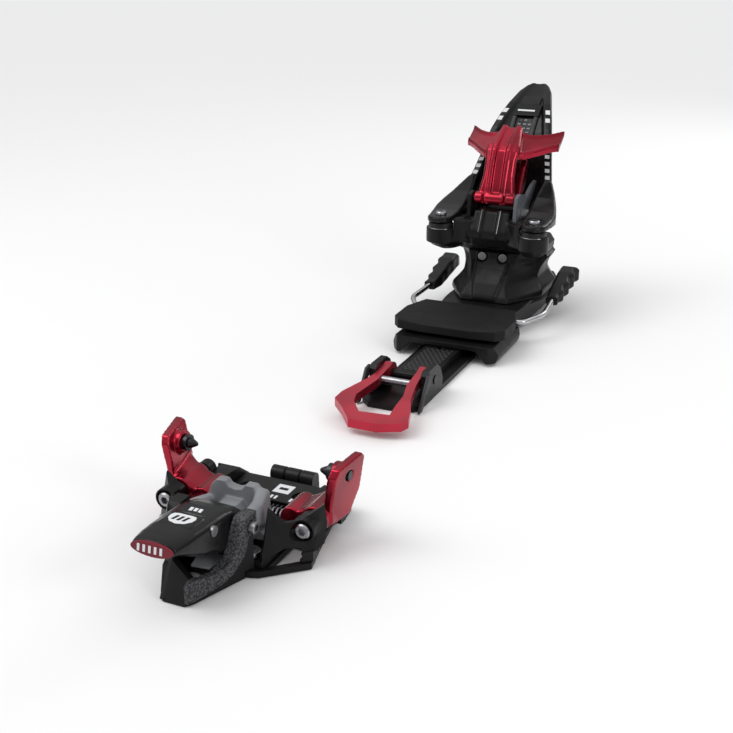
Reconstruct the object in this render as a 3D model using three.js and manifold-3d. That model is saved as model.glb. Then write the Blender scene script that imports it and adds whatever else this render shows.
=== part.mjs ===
// Touring binding: a pin toe piece and a sliding heel piece, screwed to the same ski.
// Millimetres. +X is across the ski, +Y runs from toe to heel, +Z is up.
// The origin is on the ski's surface, straight below the axis of the two toe pins.

import * as THREE from 'three';
import { mergeVertices } from 'three/addons/utils/BufferGeometryUtils.js';
import Module from 'manifold-3d';

const wasm = await Module();
wasm.setup();

// Driving dimensions.
const GAP = 0.3;

const PIN_HALF_GAP = 31;
const PIN_HEIGHT = 34.7;
const WING_PIVOT_X = 34.4;
const WING_PIVOT_Z = 17;
const TOE_AXLE_Y = -40;
const TOE_AXLE_Z = 24;
const BASE_TOP = 3;
const FLOOR_TOP = 6;

const TRACK_FRONT = 146;
const TRACK_REAR = 424;
const TRACK_RAIL_TOP = 8;
const TRACK_HALF_WIDTH = 18;
const MODE_AXLE_Y = 175;
const MODE_AXLE_Z = 11;
const LOOP_FRONT_Y = 107;
const LOOP_FRONT_Z = 6.3;

const CARRIAGE_TOP = 15;
const TURRET_Y = 362;
const TURRET_RADIUS = 24;
const BRAKE_AXLE_Y = 284;
const BRAKE_AXLE_Z = 14.6;
const PAD_TOP = 21.5;
const ROLLER_X = 33;
const ROLLER_Y = 316;
const ROLLER_RADIUS = 8.5;
const AID_AXLE_Y = 333;
const AID_AXLE_Z = 84;

// Materials: colour, roughness and metalness of each finish.
const FINISHES = {
  blackPlastic: [0x17181a, 0.5, 0.0],
  redMetal: [0xa81730, 0.3, 0.7],
  redPlastic: [0xa3182c, 0.45, 0.0],
  greyPlastic: [0x7b7e86, 0.5, 0.0],
  greyGrip: [0x4a4b50, 0.8, 0.0],
  steel: [0xb9b9b9, 0.25, 1.0],
  darkSteel: [0x2b2b2e, 0.3, 0.9],
  rubber: [0x1c1c1e, 0.75, 0.0],
};

function finish(name) {
  const [color, roughness, metalness] = FINISHES[name];
  return new THREE.MeshStandardMaterial({ color, roughness, metalness });
}

// ---- Solid helpers -------------------------------------------------------

function toManifold(geometry) {
  const bare = new THREE.BufferGeometry();
  bare.setAttribute('position', geometry.getAttribute('position').clone());
  if (geometry.index) bare.setIndex(geometry.index.clone());
  const merged = mergeVertices(bare, 1e-4);
  const corners = [];
  const index = merged.index.array;
  for (let i = 0; i < index.length; i += 3) {
    const [a, b, c] = [index[i], index[i + 1], index[i + 2]];
    if (a !== b && b !== c && c !== a) corners.push(a, b, c);
  }
  return new wasm.Manifold(new wasm.Mesh({
    numProp: 3,
    vertProperties: new Float32Array(merged.getAttribute('position').array),
    triVerts: new Uint32Array(corners),
  }));
}

function toGeometry(manifold) {
  const mesh = manifold.getMesh();
  const geometry = new THREE.BufferGeometry();
  geometry.setAttribute('position', new THREE.BufferAttribute(mesh.vertProperties, 3));
  geometry.setIndex(new THREE.BufferAttribute(mesh.triVerts, 1));
  return geometry;
}

function join(first, ...others) {
  return toGeometry(others.reduce((sum, g) => sum.add(toManifold(g)), toManifold(first)));
}

function cut(body, ...tools) {
  return toGeometry(tools.reduce((rest, g) => rest.subtract(toManifold(g)), toManifold(body)));
}

function common(first, ...others) {
  return toGeometry(others.reduce((rest, g) => rest.intersect(toManifold(g)), toManifold(first)));
}

function prism(points, depth) {
  const outline = new THREE.Shape(points.map(([x, y]) => new THREE.Vector2(x, y)));
  return new THREE.ExtrudeGeometry(outline, { depth, bevelEnabled: false, steps: 1 });
}

// Outline of [x, y] points, from height z0 to z1.
function plan(points, z0, z1) {
  return prism(points, z1 - z0).translate(0, 0, z0);
}

// Outline of [y, z] points, from x0 to x1.
function side(points, x0, x1) {
  const turn = new THREE.Matrix4().makeBasis(
    new THREE.Vector3(0, 1, 0), new THREE.Vector3(0, 0, 1), new THREE.Vector3(1, 0, 0));
  return prism(points, x1 - x0).applyMatrix4(turn).translate(x0, 0, 0);
}

// Outline of [x, z] points, from y0 to y1.
function front(points, y0, y1) {
  const turn = new THREE.Matrix4().makeBasis(
    new THREE.Vector3(1, 0, 0), new THREE.Vector3(0, 0, 1), new THREE.Vector3(0, -1, 0));
  return prism(points, y1 - y0).applyMatrix4(turn).translate(0, y1, 0);
}

function block(x0, x1, y0, y1, z0, z1) {
  return new THREE.BoxGeometry(x1 - x0, y1 - y0, z1 - z0)
    .translate((x0 + x1) / 2, (y0 + y1) / 2, (z0 + z1) / 2);
}

// Round bars along one axis: from..to, then the two other coordinates in X, Y, Z order.
function rodX(radius, from, to, y, z, sides = 20) {
  return new THREE.CylinderGeometry(radius, radius, to - from, sides)
    .rotateZ(Math.PI / 2).translate((from + to) / 2, y, z);
}

function rodY(radius, from, to, x, z, sides = 20) {
  return new THREE.CylinderGeometry(radius, radius, to - from, sides)
    .translate(x, (from + to) / 2, z);
}

function rodZ(radius, from, to, x, y, sides = 20) {
  return new THREE.CylinderGeometry(radius, radius, to - from, sides)
    .rotateX(Math.PI / 2).translate(x, y, (from + to) / 2);
}

// Slants a solid: dx, dy and dz are added per millimetre of the named axes.
function slant(geometry, { xByY = 0, xByZ = 0, yByZ = 0, zByX = 0, zByY = 0 }) {
  const shear = new THREE.Matrix4().set(
    1, xByY, xByZ, 0,
    0, 1, yByZ, 0,
    zByX, zByY, 1, 0,
    0, 0, 0, 1);
  return geometry.applyMatrix4(shear);
}

// The mirror image across the plane x = 0, with its faces turned the right way out.
function mirrored(geometry) {
  const copy = geometry.index ? geometry.clone() : mergeVertices(geometry.clone(), 1e-4);
  copy.scale(-1, 1, 1);
  const index = copy.index.array;
  for (let i = 0; i < index.length; i += 3) {
    const second = index[i + 1];
    index[i + 1] = index[i + 2];
    index[i + 2] = second;
  }
  return copy;
}

function bothSides(geometry) {
  return join(geometry, mirrored(geometry));
}

// A full outline from its right half, listed from front to back or bottom to top.
function symmetric(half) {
  const left = half.filter(([x]) => x !== 0).map(([x, v]) => [-x, v]).reverse();
  return [...half, ...left];
}

function ellipse(rx, ry, cx, cy, steps = 24) {
  return Array.from({ length: steps }, (_, i) => {
    const turn = (2 * Math.PI * i) / steps;
    return [cx + rx * Math.cos(turn), cy + ry * Math.sin(turn)];
  });
}

const binding = new THREE.Group();
const toe = new THREE.Group();
const heel = new THREE.Group();
binding.add(toe, heel);

function add(group, name, geometry, material) {
  const mesh = new THREE.Mesh(geometry, finish(material));
  mesh.name = name;
  group.add(mesh);
  return mesh;
}

function addPair(group, name, rightGeometry, material) {
  add(group, `${name}_right`, rightGeometry, material);
  add(group, `${name}_left`, mirrored(rightGeometry), material);
}

// ---- Toe piece -------------------------------------------------------------

const TOE_SCREWS = [[-15, -33.5], [15, -33.5], [-14, 14], [14, 14]];

function screwHoles(places, radius, z0, z1) {
  return places.map(([x, y]) => rodZ(radius, z0, z1, x, y, 14));
}

function toeBasePlate() {
  const half = [[16.5, -41.7], [21.6, -40], [38.8, -24.4], [35.3, -10], [30.5, 13], [33, 22], [32, 30],
    [11.5, 30], [11.5, 37.5]];
  const window = plan([[23.5, -34.5], [34.5, -24], [31, -12], [23.5, -12]], -1, 4);
  return cut(plan(symmetric(half), 0, BASE_TOP), window, mirrored(window),
    ...screwHoles(TOE_SCREWS, 2.3, -1, 4));
}

// The nose: a raked front plate, a low cross web and two side walls that spread to the housing.
function toeFrontFrame() {
  const plate = common(
    side([[-71, 0], [-68, 0], [-56.6, 14.5], [-59.6, 14.5]], -7, 7),
    front([[-5.2, 0], [5.2, 0], [6.9, 14.5], [-6.9, 14.5]], -72, -50));
  const wallPlan = [[4.9, -70.6], [5.4, -70.8], [7.5, -68], [16.5, -42.2], [19, -38.6], [12.6, -38.6],
    [12.2, -46], [7.6, -60]];
  const wall = common(plan(wallPlan, 0, 22),
    side([[-71, 0], [-42.2, 0], [-42.2, 3.3], [-38.6, 3.3], [-38.6, 19.8], [-41.4, 19.8], [-44.8, 12.3],
      [-49.8, 6.2], [-55.8, 3.3], [-67.9, 1.1], [-71, 1.1]], 0, 30));
  const web = plan([[-6, -69], [6, -69], [13, -45], [13, -42.2], [-13, -42.2], [-13, -45]], 0, 1.2);
  const opening = plan([[-3, -63], [3, -63], [7.5, -47], [-7.5, -47]], -1, 3);
  return join(plate, bothSides(wall), cut(web, opening));
}

// Textured rail: a low foot at the nose that climbs to the lever's axle.
function toeRail() {
  const profile = [[-71, 1.5], [-71, 9.4], [-68.5, 11.3], [-57, 9.5], [-50.5, 13], [-47.5, 20.5],
    [-45.5, 27], [-43, 29.5], [-35.5, 29.5], [-35.5, 20.2], [-41.8, 20.2], [-45.1, 12.7], [-50.1, 6.6],
    [-56, 3.7], [-68, 1.5]];
  const outline = [[5.3, -71], [6.9, -71], [18.9, -44], [19.2, -35], [13.4, -35], [13, -45.4], [8, -59.5],
    [6, -66]];
  const rail = common(side(profile, 0, 24), plan(outline, 0, 32));
  const noseRelief = side([[-72, 0], [-67.6, 0], [-55.9, 14.9], [-60.3, 14.9]], -7.3, 7.3);
  return cut(rail, rodX(2.8, 10, 24, TOE_AXLE_Y, TOE_AXLE_Z), noseRelief);
}

// Housing: floor, raked bulkheads in front of the wings and the rear bosses of their pivot pins.
function toeHousing() {
  const floor = plan(symmetric([[12, -38], [21.5, -37.3], [30, -26], [30, 12], [32.5, 22], [31.5, 29.5]]),
    BASE_TOP + GAP, FLOOR_TOP);
  const leg = plan([[29, -27.2], [35, -26.3], [38.8, -22.8], [37.5, -17], [29, -17]], BASE_TOP + GAP, 8);
  const wallPlan = [[20.3, -38.2], [22, -40], [39, -24.4], [41, -19.5], [36.5, -19.5], [22.5, -33.2],
    [20.3, -33]];
  const wallFront = [[18, 5.8], [37, 5.8], [41, 9], [41, 27.5], [38.5, 27.5], [32, 22], [28, 23.5],
    [24, 27], [20, 30], [18, 30]];
  const wall = common(slant(plan(wallPlan, 0, 32), { yByZ: 0.36 }), front(wallFront, -45, -13.3));
  const rearBlock = common(plan([[22.5, 8], [33, 8], [34, 20], [32.5, 29.5], [22.5, 29.5]], 5, 18),
    side([[6, 5], [29.5, 5], [29.5, 9], [21, 15.5], [12, 16.5], [6, 16.5]], 0, 40));
  const boss = join(rodY(4.2, 7.8, 13, WING_PIVOT_X, WING_PIVOT_Z), block(30.2, 37.3, 7.8, 13, 5, 17));
  const trimmedBoss = common(boss, block(20, 37.3, 0, 20, 0, 30));
  const wallBoss = common(rodY(5.4, -23.5, -14.2, WING_PIVOT_X, WING_PIVOT_Z), block(20, 41, -30, 0, 0, 40));
  const springSeat = block(-3.5, 3.5, -11, 3, 5, 15.5);
  const half = [leg, wall, rearBlock, trimmedBoss, wallBoss];
  const solid = join(floor, ...half, ...half.map(mirrored), springSeat);
  const pivotBore = rodY(2.8, -30, 20, WING_PIVOT_X, WING_PIVOT_Z);
  const headSeat = rodY(4.7, -30, -21.2, WING_PIVOT_X, WING_PIVOT_Z);
  return cut(solid, pivotBore, mirrored(pivotBore), headSeat, mirrored(headSeat),
    ...screwHoles(TOE_SCREWS, 2.3, 0, 12));
}

// Boot stop: an upright between lever and wings with two prongs, and shoulders that meet the rails.
function bootStop() {
  const face = symmetric([[11, 9.9], [16.5, 9.9], [18.3, 24], [13.5, 31.5], [8.6, 31.5], [5.5, 28]]);
  const upright = cut(front(face, -27, -15.5), front(symmetric([[9, 13], [11, 26], [5, 31]]), -28, -24));
  const shoulder = side([[-34.9, 21], [-26, 15], [-20, 22], [-20, 29.5], [-34.9, 29.5]], 13.4, 18.2);
  const foot = block(-10, 10, -26.5, -16, FLOOR_TOP + GAP, 10.5);
  return join(upright, bothSides(shoulder), foot);
}

function toeDeckPlate() {
  const plate = common(plan(symmetric([[19.5, 5.8], [21.8, 8], [21.8, 29.5]]), FLOOR_TOP + GAP, 12),
    side([[5, 6], [30, 6], [30, 8], [26, 10.8], [5.5, 10.8]], -30, 30));
  return cut(plate, ...screwHoles([[-14, 14], [14, 14]], 4.4, 6, 12));
}

// Receptacle for a ski crampon: three knuckles on one foot.
function cramponReceptacle() {
  const foot = block(-11.5, 11.5, 30.2, 37.5, BASE_TOP + GAP, 7);
  const knuckles = [-8, 0, 8].map((x) => join(rodX(3.6, x - 3.4, x + 3.4, 33.9, 9.7),
    block(x - 3.4, x + 3.4, 30.3, 37.5, 6, 9.7)));
  return join(foot, ...knuckles);
}

// Wing: a round pivot boss, an inner arm with a spring seat and an ear that leans outwards.
function toeWing() {
  const boss = rodY(6, -13, 5, WING_PIVOT_X, WING_PIVOT_Z);
  const arm = front([[19, 10.5], [24, 9.8], [34, 11], [34, 20.5], [28, 19.8], [22, 18.5], [18.5, 16]],
    -12.5, 4.5);
  const seat = rodY(4.6, -12.5, 4.5, 22.5, 14.2);
  const ear = side([[-6, 12.5], [-10.8, 22], [-11, 37], [-8.5, 41], [8, 43], [10.6, 40.5], [10.8, 24], [6, 14]],
    0, 4.2);
  slant(ear, { xByZ: 0.17, xByY: 0.17 }).translate(35.4, 0, 0);
  const pinBoss = rodX(5.5, 38, 43, 0, PIN_HEIGHT);
  return cut(join(boss, arm, seat, ear, pinBoss), rodY(2.8, -20, 20, WING_PIVOT_X, WING_PIVOT_Z),
    rodX(2.5, 30, 55, 0, PIN_HEIGHT));
}

// Toe pin: a pointed tip, a round collar against the wing's boss and a stem through the ear.
function toePin() {
  const profile = [[0, 0], [0.9, 0.6], [2.4, 3.6], [2.4, 4.6], [3.9, 4.6], [3.9, 6.7], [2.2, 6.7],
    [2.2, 14.8], [0, 14.8]];
  return new THREE.LatheGeometry(profile.map(([r, h]) => new THREE.Vector2(r, h)), 20)
    .rotateZ(-Math.PI / 2).translate(PIN_HALF_GAP, 0, PIN_HEIGHT);
}

function wingPivotPin() {
  return join(rodY(2.5, -22, 15, WING_PIVOT_X, WING_PIVOT_Z), rodY(4.3, -24.2, -21.6, WING_PIVOT_X, WING_PIVOT_Z));
}

function toeLever() {
  const profile = [[-81.5, 28.2], [-81.5, 34.8], [-78, 35.2], [-64, 34.6], [-48, 34.7], [-40, 31.5],
    [-33, 27], [-30.5, 24], [-31, 18], [-38, 12.8], [-48, 12.5], [-54, 15], [-58, 18.9], [-66, 19.6],
    [-74, 24]];
  const outline = symmetric([[8.5, -81.5], [10, -79], [8.8, -70], [9.8, -62], [11.3, -50], [11.5, -30]]);
  const body = common(side(profile, -12, 12), plan(outline, 0, 40));
  return cut(body, rodX(2.8, -15, 15, TOE_AXLE_Y, TOE_AXLE_Z), rodX(2.3, -15, 15, -55.5, 29.5));
}

function toeAxle() {
  const head = rodX(3.7, 19.5, 21.8, TOE_AXLE_Y, TOE_AXLE_Z);
  return join(rodX(2.5, -20, 20, TOE_AXLE_Y, TOE_AXLE_Z), bothSides(head));
}

function baseScrew(x, y, headBottom, headRadius = 4) {
  return join(rodZ(2, 0, headBottom + 1, x, y, 14), rodZ(headRadius, headBottom, headBottom + 2.6, x, y, 18));
}

add(toe, 'toe_base_plate', toeBasePlate(), 'blackPlastic');
add(toe, 'toe_front_frame', toeFrontFrame(), 'blackPlastic');
addPair(toe, 'toe_rail', toeRail(), 'greyGrip');
add(toe, 'toe_housing', toeHousing(), 'blackPlastic');
add(toe, 'boot_stop', bootStop(), 'greyPlastic');
add(toe, 'toe_deck_plate', toeDeckPlate(), 'blackPlastic');
add(toe, 'crampon_receptacle', cramponReceptacle(), 'blackPlastic');
addPair(toe, 'toe_wing', toeWing(), 'redMetal');
addPair(toe, 'toe_pin', toePin(), 'darkSteel');
addPair(toe, 'wing_pivot_pin', wingPivotPin(), 'steel');
addPair(toe, 'wing_spring_front', rodX(2.6, 4, 16.8, -7.5, 11.5, 14), 'steel');
addPair(toe, 'wing_spring_rear', rodX(2.6, 4, 16.8, -0.5, 11.5, 14), 'steel');
add(toe, 'toe_lever', toeLever(), 'blackPlastic');
add(toe, 'toe_lever_inlay', front(ellipse(9.8, 3.3, 0, 31.5), -83, -81.8), 'redPlastic');
add(toe, 'toe_lever_pin', rodX(2, -10.8, 10.8, -55.5, 29.5, 16), 'steel');
add(toe, 'toe_lever_axle', toeAxle(), 'steel');
TOE_SCREWS.forEach(([x, y], i) => {
  add(toe, `toe_screw_${i + 1}`, baseScrew(x, y, FLOOR_TOP + GAP), 'steel');
});

// ---- Heel piece: track and mode lever --------------------------------------

const HEEL_SCREWS = [[-6.5, 203], [6.5, 203], [-6.5, 414], [6.5, 414]];

function heelTrack() {
  const flange = plan(symmetric([[12, TRACK_FRONT], [TRACK_HALF_WIDTH, 152], [TRACK_HALF_WIDTH, 420],
    [12, TRACK_REAR]]), 0, BASE_TOP);
  const rail = block(-11.5, 11.5, 188, TRACK_REAR, 2, TRACK_RAIL_TOP);
  const ear = side([[158, 2], [188, 2], [188, 8], [184, 16], [179, 19.3], [164.5, 19.3], [162, 17], [162, 5],
    [158, 4]], 14.1, TRACK_HALF_WIDTH);
  const shell = join(flange, rail, bothSides(ear));
  return cut(shell, rodX(2.8, -30, 30, MODE_AXLE_Y, MODE_AXLE_Z),
    block(-2.6, 2.6, 230, TRACK_REAR + 2, 3.4, 9),
    ...screwHoles(HEEL_SCREWS, 2.2, -1, 9), ...screwHoles(HEEL_SCREWS, 3.9, 5, 9));
}

function trackSidePlate() {
  return side([[146.5, 0.3], [151, 0.3], [157, 8], [168.5, 16.5], [164.5, 18.6], [159.5, 18]],
    TRACK_HALF_WIDTH + GAP, TRACK_HALF_WIDTH + 2);
}

// Mode lever: an open loop for a pole tip or a thumb, cut off obliquely at its left front corner.
const LOOP_OUTER = [[13.7, 175], [13.7, 161.5], [14.6, 154], [17.8, 138], [21.8, 128.5], [25.2, 117],
  [22.8, 112.2], [10.4, 107.3], [-6.5, 107.6], [-14.7, 117.8], [-23.3, 126.5], [-22.7, 134.6],
  [-15.2, 154], [-13.7, 161.5], [-13.7, 175]];
const LOOP_INNER = [[8.6, 177], [9.3, 153], [12.3, 140.7], [12.6, 128.5], [13.5, 118.5], [-4.2, 117],
  [-11.7, 127], [-13.5, 134], [-9.3, 153], [-8.6, 177]];

function modeLever() {
  const ring = cut(plan(LOOP_OUTER, -2.5, 2.5), plan([[8.6, 190], ...LOOP_INNER, [-8.6, 190]], -6, 6));
  const slope = 0.12;
  slant(ring, { zByY: slope }).translate(0, 0, LOOP_FRONT_Z - slope * LOOP_FRONT_Y);
  const lug = rodX(6.6, 8.6, 13.6, MODE_AXLE_Y, MODE_AXLE_Z);
  const bar = rodX(2.4, -9.2, 9.2, 160, 12.4);
  return cut(join(ring, lug, mirrored(lug)), rodX(2.8, -20, 20, MODE_AXLE_Y, MODE_AXLE_Z), bar,
    rodX(2.4, -11.4, 11.4, 160, 12.4));
}

add(heel, 'heel_track', heelTrack(), 'blackPlastic');
addPair(heel, 'track_side_plate', trackSidePlate(), 'greyPlastic');
add(heel, 'mode_lever', modeLever(), 'redMetal');
add(heel, 'mode_lever_bar', rodX(2.1, -11.1, 11.1, 160, 12.4, 16), 'steel');
add(heel, 'mode_lever_axle', rodX(2.5, -18.6, 18.6, MODE_AXLE_Y, MODE_AXLE_Z, 16), 'steel');
add(heel, 'length_screw', rodY(1.9, 236, 422, 0, 5.8, 14), 'steel');
HEEL_SCREWS.forEach(([x, y], i) => {
  add(heel, `heel_screw_${i + 1}`, join(rodZ(1.9, 0, 6, x, y, 14), rodZ(3.6, 5.3, 7.7, x, y, 16)), 'steel');
});

// ---- Heel piece: carriage and brake ----------------------------------------

function overTrack(geometry) {
  return cut(geometry, block(-11.8, 11.8, 200, 460, -1, TRACK_RAIL_TOP + GAP));
}

function heelCarriage() {
  const outline = symmetric([[24, 294], [27.5, 304], [33, 350], [33, 392], [24, 412]]);
  const section = symmetric([[30, BASE_TOP + GAP], [34, 6], [34, 10], [29, CARRIAGE_TOP]]);
  return overTrack(common(plan(outline, 0, 20), front(section, 290, 415)));
}

// Brake housing: a bridge over the track whose feet reach down beside it.
function brakeHousing() {
  const section = symmetric([[22, 8.6], [29, 1.2], [34.5, 1.2], [36, 6], [33, 12.3]]);
  const slab = front(section, 234, 291.5);
  const outline = symmetric([[31, 234], [36, 240], [36, 286], [33, 291.5]]);
  const step = side([[278, 9.5], [292, 9.5], [292, 14], [278, 14]], -40, 40);
  return overTrack(cut(common(slab, plan(outline, 0, 14)), step));
}

function brakePad() {
  const outline = symmetric([[16, 238.8], [33, 240.4], [37.5, 246], [38, 268], [31, 289]]);
  const pad = plan(outline, 14.9, PAD_TOP);
  const rounded = common(pad, side([[237, 14.9], [290, 14.9], [290, 19], [287, PAD_TOP], [241, PAD_TOP],
    [238, 19.5]], -40, 40));
  return cut(rounded, rodX(2.3, -50, 50, BRAKE_AXLE_Y, BRAKE_AXLE_Z));
}

// Wire arm of the brake: across under the pad, out past the ski's edge and back to the grip.
function brakeArm() {
  const points = [[4, 284, 14.6], [34, 284, 14.6], [38, 285, 14.8], [47, 300, 16.5], [46.5, 306, 16.8],
    [45.4, 327.4, 18]];
  const route = new THREE.CatmullRomCurve3(points.map((p) => new THREE.Vector3(...p)), false, 'centripetal');
  const section = new THREE.Shape(ellipse(1.9, 1.9, 0, 0, 10).map(([x, y]) => new THREE.Vector2(x, y)));
  return new THREE.ExtrudeGeometry(section, { steps: 28, bevelEnabled: false, extrudePath: route });
}

function brakeGrip() {
  const profile = [[327.9, 15.5], [334, 14], [352, 17], [371, 22], [380, 20.5], [378, 26], [371, 33],
    [362, 31], [350, 27], [333, 21.5], [328.2, 20.5]];
  return common(side(profile, 40.5, 50.5),
    plan([[42, 327], [49, 327], [48, 360], [50.5, 372], [50, 381], [42, 381], [40.5, 372], [41.5, 360]], 0, 40));
}

add(heel, 'heel_carriage', heelCarriage(), 'blackPlastic');
add(heel, 'brake_housing', brakeHousing(), 'blackPlastic');
add(heel, 'brake_pad', brakePad(), 'rubber');
add(heel, 'brake_frame', plan(symmetric([[30, 245], [31, 248], [31, 276]]), 12.7, 14.6), 'blackPlastic');
addPair(heel, 'brake_arm', brakeArm(), 'steel');
addPair(heel, 'brake_grip', brakeGrip(), 'blackPlastic');

// ---- Heel piece: turret, jaw and heel lever --------------------------------

function heelTower() {
  const profile = [[314, 15.4], [319, 24], [330, 36], [333.5, 41], [333.5, 47], [360, 47], [366, 44],
    [392, 44], [398, 38], [402, 24], [402, 15.4]];
  const face = symmetric([[34, 15.4], [33, 19], [26.5, 27], [30, 36], [34, 42], [36, 47]]);
  const outline = symmetric([[17, 314], [24, 326], [34, 345], [35, 382], [24, 402]]);
  const solid = common(side(profile, -40, 40), front(face, 300, 410), plan(outline, 0, 50));
  const boltHole = rodY(3.5, 325, 346, 7.5, 43);
  return cut(solid, rodZ(TURRET_RADIUS + GAP, 10, 20, 0, TURRET_Y, 32), boltHole, mirrored(boltHole),
    rodY(9, 346, 410, 0, 32, 24));
}

function heelJaw() {
  const column = side([[333, 47.4], [323, 53], [318.8, 59], [319.5, 64], [326.5, 77], [338, 77], [341, 72],
    [351, 74], [365.5, 81], [371.5, 84.5], [378, 79], [380, 60], [380, 47.4]], -14, 14);
  const core = side([[333, 47.4], [322, 54], [322, 62], [345, 68.5], [372, 68.5], [380, 58], [380, 47.4]],
    -26, 26);
  const lipPlan = [[18, 330], [24, 312], [29, 307.5], [35, 307], [40.5, 310], [43, 318], [43, 334], [36, 350],
    [20, 356]];
  const lip = common(plan(lipPlan, 49, 61), front([[16, 54], [28, 49], [37, 49], [44, 56], [44, 61],
    [16, 61]], 300, 360));
  const ear = side([[326, 70], [350, 70], [350.5, 82], [345.5, 86], [334, 88.6], [328.5, 87], [327, 80]],
    14.6, 17.2);
  const sideWeb = block(13, 17.2, 328, 350, 60, 72);
  const solid = join(column, core, bothSides(lip), bothSides(ear), bothSides(sideWeb));
  const screwBore = rodZ(2.3, 40, 70, ROLLER_X, ROLLER_Y, 14);
  return cut(solid, screwBore, mirrored(screwBore), rodX(2.1, -20, 20, AID_AXLE_Y, AID_AXLE_Z, 16));
}

// Half width, y and z of the heel lever's tongue, from its root to its tip.
const TONGUE = [[34, 352, 79], [31, 364, 85.4], [28.6, 370.6, 94.5], [26.5, 376, 104], [24.5, 381.7, 113.5],
  [22.2, 388, 122.8], [19.4, 396.7, 130.7], [16, 407, 138], [11.7, 419.4, 144.8], [4.7, 428.7, 149.4]];

function heelLever() {
  const thickness = 5;
  const path = TONGUE.map(([, y, z]) => new THREE.Vector2(y, z));
  const normals = path.map((_, i) => {
    const before = path[Math.max(i - 1, 0)];
    const after = path[Math.min(i + 1, path.length - 1)];
    return new THREE.Vector2(before.y - after.y, after.x - before.x).normalize();
  });
  const face = path.map((p, i) => p.clone().addScaledVector(normals[i], thickness / 2).toArray());
  const back = path.map((p, i) => p.clone().addScaledVector(normals[i], -thickness / 2).toArray());
  const outline = symmetric([[34, 72], ...TONGUE.map(([w, , z]) => [w, z]), [3, 154]]);
  const tongue = common(side([...face, ...back.reverse()], -45, 45), front(outline, 300, 460));
  const armPlan = [[23.5, 352], [22.5, 338], [25.5, 318], [28, 309.5], [33, 306.8], [38.5, 308.5], [42, 315],
    [43, 334], [36.5, 355], [29, 366], [24, 366]];
  const arm = common(plan(armPlan, 60, 100), side([[305, 69.6], [305, 73.4], [322, 73.8], [340, 79.5],
    [356, 86], [366, 92], [366, 82], [350, 73.5], [332, 69.6]], 0, 50));
  const screwBore = rodZ(2.3, 60, 90, ROLLER_X, ROLLER_Y, 14);
  return cut(join(tongue, bothSides(arm)), screwBore, mirrored(screwBore));
}

function roller() {
  const outline = [[2.3, 0], [7.6, 0], [ROLLER_RADIUS, 1.2], [ROLLER_RADIUS, 6.8], [7.6, 8], [2.3, 8], [2.3, 0]];
  return new THREE.LatheGeometry(outline.map(([r, h]) => new THREE.Vector2(r, h)), 28)
    .rotateX(Math.PI / 2).translate(ROLLER_X, ROLLER_Y, 61.3);
}

function rollerScrew() {
  return join(rodZ(2, 50, 75, ROLLER_X, ROLLER_Y, 14), rodZ(3.7, 74.1, 76.1, ROLLER_X, ROLLER_Y, 18));
}

// Front aid: a stem on the axle, and a swept T-shaped platform that carries the boot's heel.
function frontAid() {
  const knuckle = rodX(4.2, -14.3, 14.3, AID_AXLE_Y, AID_AXLE_Z);
  const stem = common(side([[328.9, 83], [336.5, 82], [347.5, 110], [347, 117], [341, 117]], -14, 14),
    front(symmetric([[13.8, 78], [13.6, 85], [10.6, 100], [11.5, 112], [14, 120]]), 320, 360));
  const half = plan([[0, 341], [13, 341], [20, 350], [32.6, 367], [33.3, 382], [22, 373], [8, 364.5],
    [0, 364.5]], -4.5, 0);
  slant(half, { zByX: -0.38, zByY: 0.553 }).translate(0, 0, 116 - 0.553 * 341);
  const head = bothSides(half);
  return cut(join(knuckle, stem, head), rodX(2.1, -20, 20, AID_AXLE_Y, AID_AXLE_Z, 16));
}

// Rear aid: nested behind the front one, with its own pivot behind the axle.
function rearAid() {
  const plate = side([[342.2, 80.5], [348.8, 80], [362.5, 104.5], [357, 107.5]], -14.3, 14.3);
  const window = front([[-9, 86], [9, 86], [9, 99], [-9, 99]], 330, 370);
  return cut(join(plate, rodX(3.8, -14.3, 14.3, 345.5, 80.5)), window);
}

add(heel, 'turret_ring', rodZ(TURRET_RADIUS, CARRIAGE_TOP + GAP, 19.7, 0, TURRET_Y, 32), 'blackPlastic');
add(heel, 'heel_tower', heelTower(), 'blackPlastic');
addPair(heel, 'tower_bolt', rodY(3.2, 331.6, 345.5, 7.5, 43, 18), 'darkSteel');
add(heel, 'release_spring', rodY(8, 347, 387, 0, 32, 18), 'steel');
add(heel, 'release_cap', rodY(8.6, 388, 403.5, 0, 32, 24), 'darkSteel');
add(heel, 'heel_jaw', heelJaw(), 'blackPlastic');
add(heel, 'heel_lever', heelLever(), 'blackPlastic');
addPair(heel, 'roller', roller(), 'rubber');
addPair(heel, 'roller_screw', rollerScrew(), 'steel');
add(heel, 'climbing_aid_front', frontAid(), 'redMetal');
add(heel, 'climbing_aid_rear', rearAid(), 'redMetal');
add(heel, 'climbing_aid_axle', rodX(1.8, -17, 17, AID_AXLE_Y, AID_AXLE_Z, 14), 'steel');

export default binding;
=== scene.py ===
import math

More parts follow.
